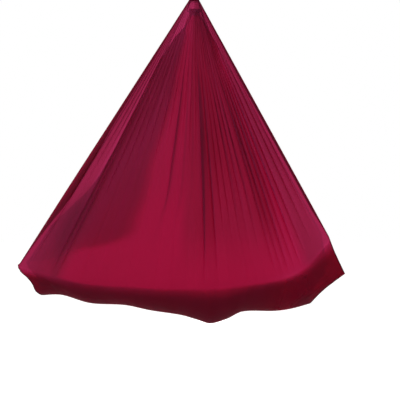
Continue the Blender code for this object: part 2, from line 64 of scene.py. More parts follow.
def readLine(points, shares):
    # smooth line through a few points; the slope at each comes from its neighbours
    xs, ys = np.array(points).T
    last = len(xs) - 1
    before = np.maximum(np.arange(last + 1) - 1, 0)
    after = np.minimum(np.arange(last + 1) + 1, last)
    slopes = (ys[after] - ys[before]) / (xs[after] - xs[before])
    shares = np.asarray(shares, float)
    i = np.clip(np.searchsorted(xs, shares) - 1, 0, last - 1)
    span = xs[i + 1] - xs[i]
    t = (shares - xs[i]) / span
    return ((2 * t ** 3 - 3 * t ** 2 + 1) * ys[i] + (t ** 3 - 2 * t ** 2 + t) * span * slopes[i]
            + (3 * t ** 2 - 2 * t ** 3) * ys[i + 1] + (t ** 3 - t ** 2) * span * slopes[i + 1])


def shareAt(points, place):
    # the same line at one place, never below 0
    return max(0, float(readLine(points, place)))


def unitLength(vectors):
    return vectors / (np.linalg.norm(vectors, axis=-1, keepdims=True) + 1e-12)


def sideSign(far):
    return 1.0 if far else -1.0


def linkObject(name, data):
    obj = bpy.data.objects.new(name, data)
    bpy.context.scene.collection.objects.link(obj)
    return obj


def dressPiece(obj, material, body, slot, *nodes):
    obj.data.materials.append(material)
    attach(obj, body)
    if nodes:
        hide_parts(*nodes)


# lengths of the hanging cloth, as its solid has them
sheetShape = {
    "hangerSpacing": 0.5, "channelHeight": -0.5572, "channelHalfWidth": 0.021,
    "channelHalfHeight": 0.0145, "neckHeight": -0.5722, "neckWidth": 0.054,
    "fanHeight": -0.5262, "lipLeft": 0.926, "lipRight": 0.707, "lipDrop": 1.54,
    "bellyLeft": 0.82, "bellyRight": 0.618, "bellyDrop": 1.757, "lipHalfWidth": 0.27,
    "narrows": ((0.1, 0.45, 0), (0.055, 0.55, 1)),  # how far each end draws in, and between which shares of the width
    "cornerFlare": 0.137, "flareStart": 0.85, "flareMiddle": 0.54,
    "flareBend": (1.1, 1.9),  # above and below the flare's tip
    "farFlareShare": 0.6,
    # how far the foot corner's outline stands off a straight line, down its height
    "footLine": ((0, -0.006), (0.1, -0.015), (0.24, -0.012), (0.42, 0.003), (0.62, 0.004), (0.84, -0.008),
                 (1, 0)),
    "footLineFades": (0.14, 0), "bellySquareness": 0.85,
    "lipRise": ((0, 0.11), (0.11, 0.052), (0.27, 0.011), (0.58, 0), (0.745, 0.021),
                (0.86, 0.055), (0.925, 0.112), (0.972, 0.205), (1, 0.262)),
    "bellyRise": ((0, 0.156), (0.075, 0.158), (0.18, 0.115), (0.315, 0.104), (0.405, 0.077),
                  (0.525, 0.05), (0.585, 0.024), (0.63, 0.005), (0.69, 0.029), (0.75, 0.069),
                  (0.87, 0.072), (0.93, 0.083), (1, 0.11)),
}
# the far side's foot margin hangs turned in, so three layers lie over each other there
sheetTurnIn = {
    # share of the width that is turned in, at shares of the drop
    "margin": ((0, 0.3174), (0.27, 0.33), (0.454, 0.3), (0.564, 0.285), (0.674, 0.305), (0.766, 0.325),
               (0.82, 0.34), (0.857, 0.3), (0.88, 0.25), (0.905, 0.18), (0.938, 0.12), (0.975, 0.055), (1, 0)),
    # how far its fold is drawn towards the middle, as a share of the width
    "drawnIn": ((0, 0), (0.2, 0.012), (0.27, 0.045), (0.344, 0.06), (0.454, 0.067), (0.564, 0.066),
                (0.674, 0.06), (0.766, 0.028), (0.857, 0), (1, 0)),
    "starts": (0, 0.1),  # shares of the drop between which it comes in
    "fullMargin": 0.08,  # a margin narrower than this folds less sharply
    "apart": 0.014,  # between its two layers
    "roundOver": 0.018,  # share of the width over which the fold turns
    "stepsBack": 0.0396,  # and over which the turned layer comes to its place
    "column": 0.3174,  # the mesh column that follows the fold
    "letsGo": 0.3,  # share of the way under the belly over which the columns spread again
}


def troughShare(turn):
    # 0 at the lips, 1 at the bottom
    return 1.0 - abs(turn - 0.5) * 2


def lipPoint(share, far):
    s = sheetShape
    x = blendTo(-s["lipLeft"], s["lipRight"], share)
    y = s["lipHalfWidth"] - sum(drawn * smoothStep(start, end, share) for drawn, start, end in s["narrows"])
    z = s["fanHeight"] - (s["lipDrop"] - readLine(s["lipRise"], share))
    return np.stack([x, sideSign(far) * y, z], axis=-1)


def bellyPoint(share, turn):
    # turn runs from the near lip at 0 to the far lip at 1
    s = sheetShape
    across = math.cos(math.pi * turn)
    down = abs(math.sin(math.pi * turn)) ** s["bellySquareness"]
    far = across < 0
    lip = lipPoint(share, far)
    tip = s["flareMiddle"]
    corner = max(0, 1.0 - abs(down - tip) / tip) ** s["flareBend"][0 if down < tip else 1]
    x = blendTo(lip[..., 0], blendTo(-s["bellyLeft"], s["bellyRight"], share), down)
    x = x + s["cornerFlare"] * corner * smoothStep(s["flareStart"], 1, share) * (s["farFlareShare"] if far else 1)
    x = x + readLine(s["footLine"], down) * smoothStep(*s["footLineFades"], share)
    y = lip[..., 1] * abs(across) ** s["bellySquareness"]
    z = blendTo(lip[..., 2], s["fanHeight"] - s["bellyDrop"] + readLine(s["bellyRise"], share), down)
    return np.stack([x, y, z], axis=-1)


def panelPoint(share, down, far):
    # down runs from the neck at 0 to the lip at 1
    s, t = sheetShape, sheetTurnIn
    spot, layer = share, 0.0
    if far:
        # the margin lies folded over towards the middle, and runs out at the lip
        fold, edge = shareAt(t["margin"], down), shareAt(t["drawnIn"], down)
        full = min(1, fold / t["fullMargin"])
        start = float(smoothStep(*t["starts"], down))
        soft = t["roundOver"] * full
        reach = np.sqrt((share - fold) ** 2 + soft ** 2) - soft  # a rounded turn at the fold
        reachAll = math.sqrt((1.0 - fold) ** 2 + soft ** 2) - soft
        folded = np.where(share < fold, edge + reach, edge + reach / reachAll * (1.0 - edge))
        spot = blendTo(share, folded, start)
        layer = smoothStep(0, t["stepsBack"], fold - share) * t["apart"] * start * full
    neck = np.stack([s["neckWidth"] * (spot - 0.5), np.full_like(share, sideSign(far) * s["hangerSpacing"] / 2),
                     np.full_like(share, s["neckHeight"])], axis=-1)
    point = blendTo(neck, lipPoint(np.clip(spot, 0, 1), far), down)
    point[..., 1] -= layer
    return point


def channelPoint(share, place, far):
    # place runs once round the sling, from the bottom
    s = sheetShape
    angle = -math.pi / 2 + 2 * math.pi * place
    y = sideSign(far) * (s["hangerSpacing"] / 2 - s["channelHalfWidth"] * math.cos(angle))
    z = s["channelHeight"] + s["channelHalfHeight"] * math.sin(angle)
    return np.stack([s["neckWidth"] * (share - 0.5), np.full_like(share, y), np.full_like(share, z)], axis=-1)


def farShare(share, kind, place):
    # share of the cloth's width at each column of the far side, with the fold on one column all the way down
    t = sheetTurnIn
    if kind == "panel":
        fold = shareAt(t["margin"], place)
    else:
        fold = t["column"] * float(smoothStep(0, t["letsGo"], 2 * (1.0 - place)))
    return np.where(share < t["column"], share / t["column"] * fold,
                    1.0 - (1.0 - share) / (1.0 - t["column"]) * (1.0 - fold))


# rows of the mesh, and the surplus cloth that is tucked back up behind each side of the trough
sheetMesh = {
    "channelRows": 22, "panelRows": 60, "bellyRows": 58,
    "lipCrowding": (1.7, 0.6),  # how much closer together the rows lie near the lip
    "columnPitch": 0.0085,  # between gathers, as a share of the width
    "probe": {"panel": (0.002, 0.01), "belly": (0.002, 0.006)},  # steps that read its slopes
    "mapRow": 0.2,  # share of the rows at which the weave is measured across
}
sheetTuck = {
    "outerTurn": 0.49999,  # turns at which the cloth doubles back
    "innerTurn": {"near": 0.012, "far": 0.085},
    "leastRows": 4,
    "stepsOver": 5.0,  # how many times faster than its run a layer gets to its place
    "apart": 0.0055, "edgeCloses": (-0.001, 0.012),
    "fadesIn": ((0.7, 0.22), (0.9, 0.07)),  # share of the half turn over which the inner layers thicken from clear: a painted soft edge on the shade below the lip
}


def sheetRows():
    # every row from channel to channel: its kind, its place there, whether it is far, and its layer
    m, t = sheetMesh, sheetTuck
    power, crowded = m["lipCrowding"]
    halves = []
    for far in (False, True):
        half = [("channel", i / m["channelRows"], far, 0) for i in range(m["channelRows"])]
        for along in (i / m["panelRows"] for i in range(m["panelRows"])):
            half.append(("panel", blendTo(along, 1.0 - (1.0 - along) ** power, crowded), far, 0))
        # down the outside, back up behind it, and down again
        inner = t["innerTurn"]["far" if far else "near"]
        runs = ((0, t["outerTurn"], 0, 0), (t["outerTurn"], inner, 0, 1), (inner, 0.5, 1, 2.0))
        total = sum(abs(end - start) for start, end, _, _ in runs)
        for start, end, low, high in runs:
            steps = max(t["leastRows"], round(m["bellyRows"] / 2 * abs(end - start) / total))
            for along in (i / steps for i in range(steps)):
                turn = blendTo(start, end, along)
                half.append(("belly", 1.0 - turn if far else turn, far,
                             blendTo(low, high, min(1, along * t["stepsOver"]))))
        halves.append(half)
    return halves[0] + [("belly", 0.5, False, 2.0)] + halves[1][::-1]


def rowFrame(kind, place, far, share):
    # one row's points, with its directions along the row and into the cloth's face
    if kind == "channel":
        point = channelPoint(share, place, far)
        angle = -math.pi / 2 + 2 * math.pi * place
        along, down = np.zeros_like(point), np.zeros_like(point)
        along[..., 0] = 1.0
        down[..., 1], down[..., 2] = sideSign(far) * math.sin(angle), math.cos(angle)
    else:
        surface = bellyPoint if kind == "belly" else partial(panelPoint, far=far)
        wide, deep = sheetMesh["probe"][kind]
        point = surface(share, place)
        along = surface(np.clip(share + wide, 0, 1), place) - surface(np.clip(share - wide, 0, 1), place)
        down = surface(share, min(1, place + deep)) - surface(share, max(0, place - deep))
    if far and kind != "belly":
        down = -down
    along = unitLength(along)
    return point, along, unitLength(np.cross(along, unitLength(down)))


sheetFolds = {
    # gathers: share of the width, depth in metres, share of the drop where it has faded, lean, how full its loop is
    "near": (
        (0.028, 0.015, 0.9, 0.2, 0.5), (0.055, 0.01, 0.6, 0.2, 0.3), (0.08, 0.01, 0.55, 0.2, 0.3),
        (0.1, 0.017, 0.97, 0.3, 0.45), (0.119, 0.018, 0.99, 0.4, 0.5), (0.16, 0.015, 0.6, 0.2, 0.5),
        (0.2, 0.015, 0.52, 0.2, 0.5), (0.24, 0.015, 0.44, 0.2, 0.5), (0.29, 0.018, 0.4, 0.2, 0.6),
        (0.345, 0.015, 0.45, 0.2, 0.5), (0.395, 0.015, 0.38, 0.2, 0.5), (0.44, 0.018, 0.6, 0.3, 0.6),
        (0.49, 0.015, 0.35, 0.2, 0.5), (0.535, 0.017, 0.45, 0.2, 0.5), (0.575, 0.015, 0.42, 0.2, 0.5),
        (0.602, 0.051, 0.9, 0.35, 1.4), (0.646, 0.029, 0.88, 0.3, 0.9), (0.682, 0.021, 0.72, 0.25, 0.4),
        (0.712, 0.021, 0.7, 0.25, 0.35), (0.742, 0.024, 0.72, 0.25, 0.5), (0.772, 0.021, 0.68, 0.25, 0.35),
        (0.8, 0.017, 0.76, 0.25, 0.4), (0.834, 0.026, 0.9, 0.35, 0.9), (0.855, 0.026, 0.9, 0.3, 0.8),
        (0.875, 0.033, 0.94, 0.35, 1), (0.895, 0.027, 0.9, 0.3, 0.8), (0.914, 0.033, 0.93, 0.35, 1),
        (0.936, 0.021, 0.88, 0.25, 0.6), (0.96, 0.018, 0.84, 0.25, 0.5), (0.98, 0.015, 0.8, 0.2, 0.5),
    ),
    "rootHalf": 0.0022,  # share of the width between a gather's two feet, halved
    "across": (-0.25, -0.55, -1.0, -0.85, 0, 0.85, 1, 0.55, 0.25),  # loop's outline, in loop widths
    "deep": (0, 0.36, 0.7, 0.93, 1, 0.93, 0.7, 0.36, 0),
    "neckLoop": 0.00042,  # half the loop's width at the neck
    "lipLoop": 0.0032,  # and where the fan is widest
    "loopWidens": 1.05,
    "depthLine": ((0, 0.62), (0.1, 0.9), (0.3, 1.25), (0.6, 1.1), (0.85, 0.66), (1, 0.3)),
    # a gather fades over the first share of the drop, and is gone the second share below its own end
    "panelFades": {"depth": (0.42, 0.16), "loop": (0.34, 0.14)},
    "bellyFades": {"depth": (0.28, 0.1), "loop": (0.2, 0.08)},
    "flattens": 0.93,  # from here on its depth goes down to what is left at the lip, and to nothing under it
    "leftAtLip": 0.1, "underLip": (0.12, 0),
    "farDepth": (0.45, 0.7, 0.5, 0.65, 0.4, 0.75, 0.55),  # the far side's gathers in turn, next to the near ones
    "farLean": -0.8, "leans": (0.08, 0.5), "clearOfFold": (0.012, 0.06), "farFades": (1, 0.55),
    "farNeck": ((0, 0.5), (0.35, 0)),
    "centred": (0.12, 0),  # at the neck the gathers lie half on each side of the solid
    "channelDepth": 0.0032, "channelOpens": (0.8, 1),
}
sheetWaves = {
    "seed": 11, "count": 26, "turns": (7, 60), "strength": (0.4, 1), "farShift": 1.7,
    "height": 0.0042, "grows": (0.02, 0.3), "eases": ((0.75, 1), (1, 0.4)), "inTrough": 0.4,
    "creaseCount": 46,  # short creases across the trough
    "creaseMiddle": (0.03, 0.97), "creaseWide": (0.006, 0.02), "creaseRun": (0.2, 0.9),
    "creaseHeight": 0.0034, "creaseSlant": 0.05,
}
# how closely the threads lie, with painted shade added on the same scale: 1 where the cloth is bunched, 0 where it is
# spread, -1 where it is drawn thin
sheetGatherAndShade = {
    "footEdge": (0.14, 0.06), "headEdge": (0.905, 0.95), "top": ((0.56, 0.24), (0.82, 0)),
    # turnedIn, with its width and ends, is painted shade over the far side's turned-in margin
    "thinMargin": (0.075, 0), "thinEnds": (1, 0.9), "turnedIn": 0.95,
    "turnedInWidth": (0.34, 0.26), "turnedInEnds": (0.92, 0.82), "doubledHem": 0,
    "curledHem": {"near": 0.7, "far": -0.3},
    # painted shade: a dark run down to the foot corner
    "streak": 0.9,
    "streakStarts": (0.62, 0.78),
    "streakLine": ((0, 0.1), (0.69, 0.1), (0.8, 0.098), (0.9, 0.105), (1, 0.118)),
    "streakWide": ((0, 0.03), (0.69, 0.035), (0.8, 0.055), (0.9, 0.035), (1, 0.018)),
    # painted shade over the head's half, down its drop
    "headHalf": ((0, 0.34), (0.57, 0.34), (0.68, 0.46), (0.78, 0.64), (0.87, 0.34), (0.96, 0), (1, 0)),
    "headHalfFrom": (0.5, 0.545), "headHalfTo": (0.92, 0.86),
    # painted shade along the trough, lighter towards the head
    "trough": ((0.78, 0.17), (0.9, -0.22)),
    "troughCorner": 0.12, "troughCornerFrom": (0.91, 0.96), "troughStarts": (0, 0.1),
    "channel": 0.5,
}


def sheetColumns():
    # each column: its share of the width, its gather (or -1), and its step round that gather's loop
    f = sheetFolds
    marks = [(fold[0] - f["rootHalf"], fold[0] + f["rootHalf"], number) for number, fold in enumerate(f["near"])]
    last = len(f["across"]) - 1
    columns = [(0, -1, 0)]
    at = 0.0
    for low, high, number in marks:
        steps = max(1, math.ceil((low - at) / sheetMesh["columnPitch"]))
        columns += [(at + (low - at) * i / steps, -1, 0) for i in range(1, steps)]
        columns += [(blendTo(low, high, i / last), number, i) for i in range(last + 1)]
        at = high
    steps = max(1, math.ceil((1.0 - at) / sheetMesh["columnPitch"]))
    return columns + [(at + (1.0 - at) * i / steps, -1, 0) for i in range(1, steps + 1)]


# how closely the threads lie: bunched at the top and the edges, with painted shade over the turned-in margin, the
# head's half and the streak
def gatherAndShadeOf(share, down, far):
    g = sheetGatherAndShade
    top = easeTo(*g["top"], down)
    if far:
        thin = smoothStep(*g["thinMargin"], share) * smoothStep(*g["thinEnds"], down)
        # painted shade over the turned-in margin
        turned = g["turnedIn"] * smoothStep(*g["turnedInWidth"], share) * smoothStep(*g["turnedInEnds"], down)
        return (top + turned) * (1 - thin) - thin
    edge = np.maximum(smoothStep(*g["footEdge"], share), smoothStep(*g["headEdge"], share))
    # painted shade over the head's half
    half = (shareAt(g["headHalf"], down) * smoothStep(*g["headHalfFrom"], share)
            * smoothStep(*g["headHalfTo"], share))
    # painted shade, a dark streak down towards the foot corner
    middle, wide = readLine(g["streakLine"], down), readLine(g["streakWide"], down)
    streak = g["streak"] * np.exp(-((share - middle) / wide) ** 2) * smoothStep(*g["streakStarts"], down)
    return np.clip(np.maximum(top + half, edge) + streak, -1.0, 2.0)


def foldsLeft(fades, ends, down):
    over, past = fades
    return smoothStep(0, over, ends - down + past)


def panelFolds(c, share, down, far):
    # depth, loop width, lean and wave of a row between neck and lip, and how closely its threads lie
    f, w = sheetFolds, sheetWaves
    flat = easeTo((f["flattens"], 1), (1, f["leftAtLip"]), down)
    depth = (c["depth"] * readLine(f["depthLine"], down) * foldsLeft(f["panelFades"]["depth"], c["ends"], down) * flat
             * (c["farScale"] if far else 1))
    loop = (blendTo(f["neckLoop"], f["lipLoop"], min(1, down * f["loopWidens"])) * c["fulls"]
            * foldsLeft(f["panelFades"]["loop"], c["ends"], down))
    if far:
        clear = (smoothStep(*f["clearOfFold"], share - shareAt(sheetTurnIn["margin"], down))
                 * smoothStep(*f["farFades"], down))
        clear = np.maximum(clear, easeTo(*f["farNeck"], down))
        depth, loop = depth * clear, loop * clear
    lean = c["leans"] * (f["farLean"] if far else 1) * smoothStep(*f["leans"], down)
    wave = w["height"] * c["waveLine"][int(far)] * smoothStep(*w["grows"], down) * easeTo(*w["eases"], down)
    wave = wave - c["centre"] * smoothStep(*f["centred"], down)
    return depth, loop, lean, wave, gatherAndShadeOf(share, down, far)


def channelFolds(c, share, place):
    f = sheetFolds
    opens = smoothStep(*f["channelOpens"], place)
    depth = blendTo(f["channelDepth"] * c["depth"] / c["meanDepth"], c["depth"] * c["neckDepth"], opens)
    wave = -c["centre"] * opens - f["channelDepth"] / 2 * (1 - opens)
    return depth, f["neckLoop"] * c["fulls"], 0, wave, np.full_like(share, sheetGatherAndShade["channel"])


def bellyFolds(c, share, turn, far, layer):
    f, w, g, t = sheetFolds, sheetWaves, sheetGatherAndShade, sheetTuck
    inTrough = troughShare(turn)
    left = smoothStep(*f["underLip"], inTrough)
    depth = (c["depth"] * f["depthLine"][-1][1] * f["leftAtLip"] * left
             * foldsLeft(f["bellyFades"]["depth"], c["ends"], 1))
    loop = f["lipLoop"] * c["fulls"] * left * foldsLeft(f["bellyFades"]["loop"], c["ends"], 1)
    # painted shade along the trough, lighter towards the head
    gatherAndShade = easeTo(*g["trough"], share)
    gatherAndShade = blendTo(gatherAndShade, g["troughCorner"], smoothStep(*g["troughCornerFrom"], share))
    if layer < 0.5:
        gatherAndShade = blendTo(gatherAndShadeOf(share, 1, far), gatherAndShade, smoothStep(*g["troughStarts"], inTrough))
    else:
        inner = 2 * t["innerTurn"]["far" if far else "near"]
        # the inner layers start clear and thicken, a painted soft edge on the shade below the lip
        gatherAndShade = blendTo(-1, gatherAndShade, smoothStep(0, 1, (inTrough - inner) / easeTo(*t["fadesIn"], share)))
    wave = w["height"] * w["inTrough"] * c["waveLine"][int(far)] * (1 - inTrough)
    for middle, wide, height, run in c["creases"]:
        slanted = middle + (inTrough - 0.5) * w["creaseSlant"] * height
        wave = wave + (w["creaseHeight"] * height * np.exp(-((share - slanted) / wide) ** 2)
                       * math.sin(math.pi * min(1, inTrough / run)) ** 2)
    wave = wave + layer * t["apart"] * smoothStep(*t["edgeCloses"], np.minimum(share, 1 - share))
    return depth, loop, c["leans"], wave, gatherAndShade


hemShape = {
    "curled": {"foot": (0.00525, 0.003), "head": (0.004, 0.00225)},  # a raw edge's coil, outside and inside
    # the doubled hem's outline: across it, in hem widths, and behind it, in layer gaps
    "doubled": ((-0.05, 0.3), (-0.02, 0.85), (0.1, 1.05), (0.4, 1), (0.75, 1), (0.97, 1.1),
                (1, 1.6), (0.94, 2.05), (0.6, 2.0), (0.25, 2.1)),
    "layer": 0.0034,
    "width": ((0, 0.003), (0.2, 0.01), (0.45, 0.019), (0.64, 0.037), (0.74, 0.038), (0.85, 0.02),
              (0.93, 0.008), (1, 0.004)),
    "headWidth": 0.014, "turns": 1.3, "steps": 10,
    # how far the far side's foot edge coils up, at two places: the turned-in margin ends in a plain selvedge
    "curl": {"channel": ((0, 0.3), (1, 0.3)), "panel": ((0.1, 0.3), (0.5, 0.05)), "belly": ((0.1, 0.05), (0.35, 1))},
}


def hemPoints(edge, along, inward, end, far, width, curl):
    # the near side's edges are doubled over twice; every edge of the far side curls in on itself
    h = hemShape
    if not far:
        turn = along * width if end == "foot" else -along * min(width, h["headWidth"])
        return np.array([edge + turn * across + inward * h["layer"] * level for across, level in h["doubled"]])
    outer, inner = (radius * curl for radius in h["curled"][end])
    share = np.arange(1, h["steps"] + 1)[:, None] / h["steps"]
    angle, radius = 2 * math.pi * h["turns"] * share, blendTo(outer, inner, share)
    outwards = -along if end == "foot" else along
    return edge + outwards * radius * np.sin(angle) + inward * (outer - radius * np.cos(angle))


def sheetData():
    # what each column has of its gather, with the slow waves and short creases of the whole cloth
    f, w = sheetFolds, sheetWaves
    columns = sheetColumns()
    share, number, step = (np.array(values) for values in zip(*columns))
    picked = np.array(f["near"])[np.maximum(number, 0)]
    rng = np.random.default_rng(w["seed"])
    waves = [(rng.uniform(*w["turns"]), rng.uniform(0, 2 * math.pi), rng.uniform(*w["strength"]))
             for _ in range(w["count"])]
    # the same waves on every row, so that they run down the fan
    waveLine = [sum(strength * np.sin(2 * math.pi * turns * share + start + side * w["farShift"])
                    / math.sqrt(turns / w["turns"][0]) for turns, start, strength in waves) / math.sqrt(w["count"])
                for side in (0, 1)]
    creases = [(rng.uniform(*w["creaseMiddle"]), rng.uniform(*w["creaseWide"]), rng.uniform(-1, 1),
                rng.uniform(*w["creaseRun"])) for _ in range(w["creaseCount"])]
    neckDepth, meanDepth = float(readLine(f["depthLine"], 0)), picked[:, 1].mean()
    return {
        "share": share,
        "across": np.where(number >= 0, np.array(f["across"])[step], 0),
        "deep": np.where(number >= 0, np.array(f["deep"])[step], 0),
        "depth": picked[:, 1], "ends": picked[:, 2], "leans": picked[:, 3], "fulls": picked[:, 4],
        "farScale": np.array(f["farDepth"])[np.maximum(number, 0) % len(f["farDepth"])],
        "waveLine": waveLine, "creases": creases,
        "neckDepth": neckDepth, "meanDepth": meanDepth, "centre": 0.5 * meanDepth * neckDepth,
    }


def buildSheet():
    c, g = sheetData(), sheetGatherAndShade
    rows = sheetRows()
    grid, gatherAndShades = [], []
    for kind, place, far, layer in rows:
        share = farShare(c["share"], kind, place) if far and kind != "channel" else c["share"]
        point, along, inward = rowFrame(kind, place, far, share)
        if kind == "panel":
            depth, loop, lean, wave, gatherAndShade = panelFolds(c, share, place, far)
        elif kind == "belly":
            depth, loop, lean, wave, gatherAndShade = bellyFolds(c, share, place, far, layer)
        else:
            depth, loop, lean, wave, gatherAndShade = channelFolds(c, share, place)
        offset = c["across"] * loop + lean * depth * c["deep"]
        final = point + along * offset[:, None] + inward * (depth * c["deep"] + wave)[:, None]
        width = shareAt(hemShape["width"], {"panel": place, "belly": 1, "channel": 0}[kind])
        curl = float(easeTo(*hemShape["curl"][kind], troughShare(place) if kind == "belly" else place))
        foot = hemPoints(final[0], along[0], inward[0], "foot", far, width, curl)
        head = hemPoints(final[-1], along[-1], inward[-1], "head", far, width, 1)
        grid.append(np.concatenate([foot[::-1], final, head]))
        curled = g["curledHem"]["far" if far or kind == "belly" else "near"]
        gatherAndShades.append(np.concatenate([np.full(len(foot), curled if far else g["doubledHem"]), gatherAndShade,
                                       np.full(len(head), curled)]))
    # the cloth's own points at each neck, for its sewing
    necks = {}
    for side, far, onward in (("near", False, 1), ("far", True, -1)):
        first = rows.index(("panel", 0, far, 0))
        necks[side] = (grid[first], grid[first + onward])
    cloth = meshFromGrid("hammock_cloth", np.array(grid))
    spread = cloth.data.attributes.new("gatherAndShade", "FLOAT", "POINT")
    spread.data.foreach_set("value", np.array(gatherAndShades).astype(np.float32).ravel())
    return cloth, necks


def lineLength(points):
    return np.concatenate([[0], np.cumsum(np.linalg.norm(np.diff(points, axis=0), axis=1))])


def meshFromGrid(name, grid):
    rows, columns = grid.shape[:2]
    mesh = bpy.data.meshes.new(name)
    index = np.arange(rows * columns).reshape(rows, columns)
    faces = np.stack([index[:-1, :-1], index[:-1, 1:], index[1:, 1:], index[1:, :-1]], axis=-1).reshape(-1, 4)
    mesh.from_pydata(grid.reshape(-1, 3).tolist(), [], faces.tolist())
    # the weave follows the cloth, so its map is in metres of cloth
    across = lineLength(grid[int(rows * sheetMesh["mapRow"])])
    down = lineLength(grid[:, columns // 2])
    uvs = mesh.uv_layers.new(name="cloth")
    loops = np.empty(len(mesh.loops), np.int32)
    mesh.loops.foreach_get("vertex_index", loops)
    flat = np.stack([across[loops % columns], down[loops // columns]], axis=-1)
    uvs.data.foreach_set("uv", flat.astype(np.float32).ravel())
    mesh.polygons.foreach_set("use_smooth", [True] * len(mesh.polygons))
    mesh.update()
    return linkObject(name, mesh)


def evenly(points, pitch, closed=False):
    # the same line with its points this far apart
    points = np.array(points, float)
    if closed:
        points = np.vstack([points, points[:1]])
    length = lineLength(points)
    count = max(2, int(round(length[-1] / pitch)))
    at = np.linspace(0, length[-1], count + 1)
    line = np.stack([np.interp(at, length, points[:, i]) for i in range(points.shape[1])], axis=1)
    return line[:-1] if closed else line


def softened(points, passes, closed):
    for _ in range(passes):
        mean = 0.5 * points + 0.25 * (np.roll(points, 1, axis=0) + np.roll(points, -1, axis=0))
        if not closed:
            mean[0], mean[-1] = points[0], points[-1]
        points = mean
    return points


def directions(line, closed):
    run = np.roll(line, -1, axis=0) - np.roll(line, 1, axis=0)
    if not closed:
        run[0], run[-1] = line[1] - line[0], line[-1] - line[-2]
    return unitLength(run)


def ringFaces(count, sides, closed, first=0):
    # faces between the rings of a tube, and a cap on each end of an open one
    faces = []
    for i in range(count if closed else count - 1):
        here, there = first + i * sides, first + (i + 1) % count * sides
        faces += [(here + k, there + k, there + (k + 1) % sides, here + (k + 1) % sides) for k in range(sides)]
    if not closed:
        end = first + count * sides
        faces += [tuple(range(first, first + sides)), tuple(reversed(range(end - sides, end)))]
    return faces


def placeMesh(name, mesh):
    shape = bmesh.new()
    shape.from_mesh(mesh)
    bmesh.ops.recalc_face_normals(shape, faces=shape.faces[:])
    shape.to_mesh(mesh)
    shape.free()
    mesh.polygons.foreach_set("use_smooth", [True] * len(mesh.polygons))
    mesh.update()
    return linkObject(name, mesh)


webbingShape = {
    "sides": 16,
    "squareness": (0.45, 0.55),  # across the webbing and through it
    "wander": 0.0012,  # how far it strays sideways
    "wanderPasses": 40,
}


def sweepWebbing(name, line, closed, y, width, thick, seed):
    w = webbingShape
    count, sides = len(line), w["sides"]
    run = directions(line, closed)
    normal = np.stack([run[:, 1], -run[:, 0]], axis=1)
    turn = 2 * np.pi * (np.arange(sides) + 0.5) / sides
    across, deep = (np.sign(wave) * np.abs(wave) ** power * size / 2 for wave, power, size in
                    zip((np.cos(turn), np.sin(turn)), w["squareness"], (width, thick)))
    wander = softened(np.random.default_rng(seed).normal(0, w["wander"], count), w["wanderPasses"], closed)
    face = line[:, None] + normal[:, None] * deep[None, :, None]
    points = np.stack([face[..., 0], y + across + wander[:, None], face[..., 1]], axis=-1)
    length = lineLength(np.vstack([line, line[:1]]) if closed else line)
    ring = np.stack([across, deep], axis=1)
    girth = lineLength(np.vstack([ring, ring[:1]]))
    uvs = [spot for i in range(count if closed else count - 1) for k in range(sides)
           for spot in ((length[i], girth[k]), (length[i + 1], girth[k]),
                        (length[i + 1], girth[k + 1]), (length[i], girth[k + 1]))]
    if not closed:
        uvs += [(0, girth[k]) for k in [*range(sides), *reversed(range(sides))]]
    mesh = bpy.data.meshes.new(name)
    mesh.from_pydata(points.reshape(-1, 3).tolist(), [], ringFaces(count, sides, closed))
    mesh.uv_layers.new(name="cloth").data.foreach_set("uv", np.array(uvs, np.float32).ravel())
    return placeMesh(name, mesh)


def tubeMesh(name, lines, radius, sides, closed=False):
    # round thread along each of these lines, all in one mesh
    points, faces = [], []
    turn = 2 * np.pi * np.arange(sides) / sides
    offLine = np.array([0.31, 0.17, 0.93])  # a direction that none of them runs in
    for line in lines:
        line = np.array(line, float)
        run = directions(line, closed)
        first = unitLength(np.cross(run, offLine))
        second = np.cross(run, first)
        wide = radius if np.ndim(radius) else np.full(len(line), radius)
        ring = (line[:, None] + wide[:, None, None] * (np.cos(turn)[None, :, None] * first[:, None]
                                                        + np.sin(turn)[None, :, None] * second[:, None]))
        faces += ringFaces(len(line), sides, closed, len(points))
        points += ring.reshape(-1, 3).tolist()
    mesh = bpy.data.meshes.new(name)
    mesh.from_pydata(points, [], faces)
    return placeMesh(name, mesh)


strapShape = {
    "sideY": 0.25, "width": 0.016, "layer": 0.0022, "thick": 0.0019,
    "topEye": -0.126625,  # middle of the bar in each eye
    "bottomEye": -0.369775, "eyeLength": 0.036, "eyeSteps": 25, "barRadius": 0.0061,
    "joinRadius": 0.00055, "pockets": 4, "pocketDepth": 0.01, "pocketSteps": 14,
    "tackLength": 0.006, "pitch": 0.0016, "softening": 2,
}
stitchShape = {
    "radius": 0.00034, "sides": 5,
    "sunk": 0.3,  # share of the thread's radius by which it stands off the webbing
    "tackWidth": 0.0125, "tackHeight": 0.0036, "tackTurns": 11,
}


def strapLine():
    # middle line of the webbing: over the top eye, down the back, round the bottom eye, up through the pockets
    s = strapShape
    half = s["layer"] / 2
    big, small = s["barRadius"] + half, s["joinRadius"] + half
    lean = math.asin((big - small) / s["eyeLength"])
    joinTop, joinBottom = s["topEye"] - s["eyeLength"], s["bottomEye"] + s["eyeLength"]

    def eye(middle, start, end):
        return [(big * math.cos(a), middle + big * math.sin(a)) for a in np.linspace(start, end, s["eyeSteps"])]

    line = eye(s["topEye"], -lean, math.pi + lean) + [(-half, joinTop), (-half, joinBottom)]
    line += eye(s["bottomEye"], math.pi - lean, 2 * math.pi + lean)
    pitch = (joinTop - joinBottom) / s["pockets"]
    for pocket in range(s["pockets"]):
        start = joinBottom + pitch * pocket + s["tackLength"] / 2
        line += [(half + s["pocketDepth"] * math.sin(math.pi * share) ** 2, start + (pitch - s["tackLength"]) * share)
                 for share in np.linspace(0, 1, s["pocketSteps"] + 1)]
    line.append((half, joinTop))
    return line, joinBottom, pitch


